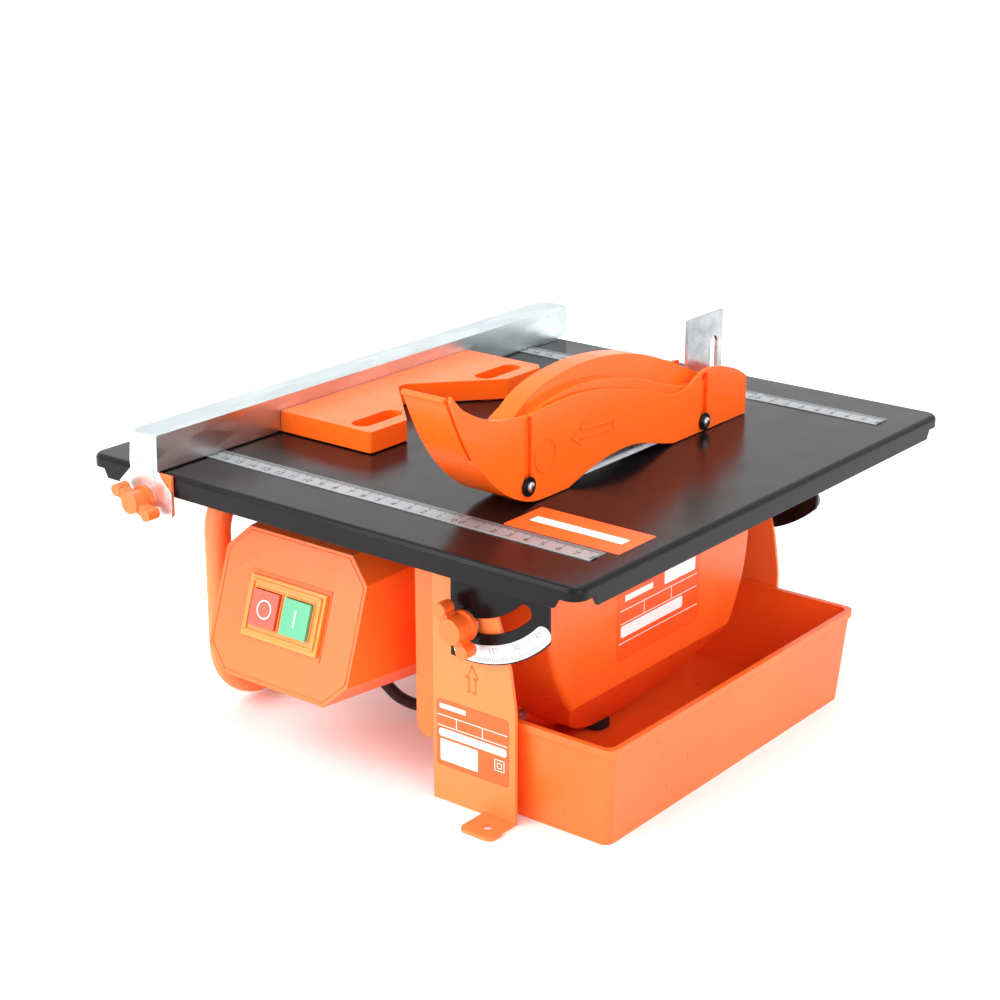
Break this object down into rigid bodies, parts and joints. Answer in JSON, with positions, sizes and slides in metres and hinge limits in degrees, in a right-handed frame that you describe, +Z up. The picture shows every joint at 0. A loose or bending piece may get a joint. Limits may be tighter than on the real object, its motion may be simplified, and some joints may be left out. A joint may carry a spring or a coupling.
{
  "type": "tile cutter",
  "caption": "Bench wet tile cutter: tilting sheet-steel table over a motor-driven diamond disc, with rip fence, angle guide, blade guard, switch box and water tray.",
  "frame": {"origin": "on the floor, midway between the bolt holes of the two foot tabs", "axes": "+Z up, +X to the right of the operator, +Y from the operator's side to the rear"},
  "size_m": [0.33, 0.3744, 0.227],
  "materials": {
    "paint_orange": "powder coated satin",
    "orange_plastic": "moulded semi gloss",
    "black_paint": "powder coated satin",
    "zinc": "galvanised",
    "steel": "machined",
    "ruler_steel": "satin",
    "scale_white": "satin",
    "rubber": "matt",
    "cord_rubber": "matt",
    "cast_alloy": "cast",
    "core_steel": "laminated",
    "copper": "enamelled wire",
    "amber_plastic": "moulded",
    "red_plastic": "moulded",
    "green_plastic": "moulded",
    "black_plastic": "moulded",
    "white_plastic": "moulded",
    "disc_steel": "ground",
    "diamond_bond": "sintered"
  },
  "bodies": {
    "base": {"base_plate_front": "paint_orange", "base_plate_rear": "paint_orange", "blade_housing": "orange_plastic", "housing_cover": "orange_plastic", "cover_screws": "steel", "drain_plug": "rubber", "motor_shell": "orange_plastic", "motor_front_bell": "cast_alloy", "motor_rear_bell": "cast_alloy", "stator_core": "core_steel", "stator_winding": "copper", "motor_bearings": "steel", "run_capacitor": "white_plastic", "switch_box": "orange_plastic", "switch_bezel": "amber_plastic", "switch_body": "black_plastic", "cord_gland": "rubber", "mains_cord": "cord_rubber", "cord_coil": "cord_rubber", "cord_tail": "cord_rubber", "cord_tie": "black_plastic", "mains_plug": "rubber", "riving_knife": "steel", "knife_bracket": "paint_orange", "knife_bolts": "steel", "water_tray": "orange_plastic", "support_leg": "paint_orange", "leg_crossbar": "paint_orange", "rubber_pads": "rubber", "tilt_bolts": "steel", "tilt_washers": "steel"},
    "arbor": {"rotor_shaft": "steel", "rotor": "core_steel", "cooling_fan": "black_plastic", "inner_flange": "steel", "outer_flange": "steel", "arbor_nut": "steel", "blade_disc": "disc_steel", "diamond_rim": "diamond_bond"},
    "table": {"table": "black_paint", "rulers": "ruler_steel", "quadrant_front": "black_paint", "quadrant_rear": "black_paint", "angle_scales": "scale_white"},
    "fence": {"fence_rail": "zinc", "fence_clamp_plate": "zinc", "fence_clamp_block": "orange_plastic"},
    "fence_knob": {"fence_clamp_knob": "orange_plastic"},
    "guide": {"angle_guide": "orange_plastic"},
    "side_guard": {"side_guard_right": "orange_plastic", "side_guard_left": "orange_plastic", "guard_flap": "orange_plastic"},
    "arch": {"arch_guard": "orange_plastic", "guard_screws": "steel", "guard_washers": "black_paint"},
    "guard_bolt": {"guard_wing_bolt": "steel"},
    "front_knob": {"tilt_knob_front": "orange_plastic"},
    "rear_knob": {"tilt_knob_rear": "orange_plastic"},
    "start": {"start_button": "green_plastic"},
    "stop": {"stop_button": "red_plastic"}
  },
  "joints": [
    {"name": "table_tilt", "type": "hinge", "parent": "base", "child": "table", "pos_m": [-0.0205, 0, 0.156], "axis": [0, 1, 0], "range_deg": [0, 45]},
    {"name": "arbor_spin", "type": "hinge", "parent": "base", "child": "arbor", "pos_m": [-0.028, 0, 0.101], "axis": [1, 0, 0], "continuous": true},
    {"name": "fence_slide", "type": "slide", "parent": "table", "child": "fence", "axis": [1, 0, 0], "range_m": [-0.03, 0.055]},
    {"name": "fence_knob_turn", "type": "hinge", "parent": "fence", "child": "fence_knob", "pos_m": [-0.21, -0.176, 0.1407], "axis": [0, 1, 0], "range_deg": [-180, 180]},
    {"name": "guide_slide", "type": "slide", "parent": "fence", "child": "guide", "axis": [0, 1, 0], "range_m": [-0.05, 0.08]},
    {"name": "guard_lift", "type": "slide", "parent": "base", "child": "side_guard", "axis": [0, 0, 1], "range_m": [0, 0.0225]},
    {"name": "arch_height", "type": "slide", "parent": "side_guard", "child": "arch", "axis": [0, 0, 1], "range_m": [0, 0.011]},
    {"name": "guard_bolt_turn", "type": "hinge", "parent": "arch", "child": "guard_bolt", "pos_m": [-0.028, 0.1025, 0.167], "axis": [1, 0, 0], "range_deg": [-90, 90]},
    {"name": "front_knob_turn", "type": "hinge", "parent": "base", "child": "front_knob", "pos_m": [-0.0205, -0.136, 0.1045], "axis": [0, 1, 0], "range_deg": [-180, 180]},
    {"name": "rear_knob_turn", "type": "hinge", "parent": "base", "child": "rear_knob", "pos_m": [-0.0205, 0.136, 0.1045], "axis": [0, 1, 0], "range_deg": [-180, 180]},
    {"name": "start_press", "type": "slide", "parent": "base", "child": "start", "axis": [0, 0.9483, -0.3173], "range_m": [0, 0.0025], "stiffness_N_per_m": 600, "springref_m": -0.001},
    {"name": "stop_press", "type": "slide", "parent": "base", "child": "stop", "axis": [0, 0.9483, -0.3173], "range_m": [0, 0.0025], "stiffness_N_per_m": 600, "springref_m": -0.001}
  ],
  "couplings": [
    {"joint": "guard_lift", "follows": "table_tilt", "m_per_rad": 0.027375}
  ]
}
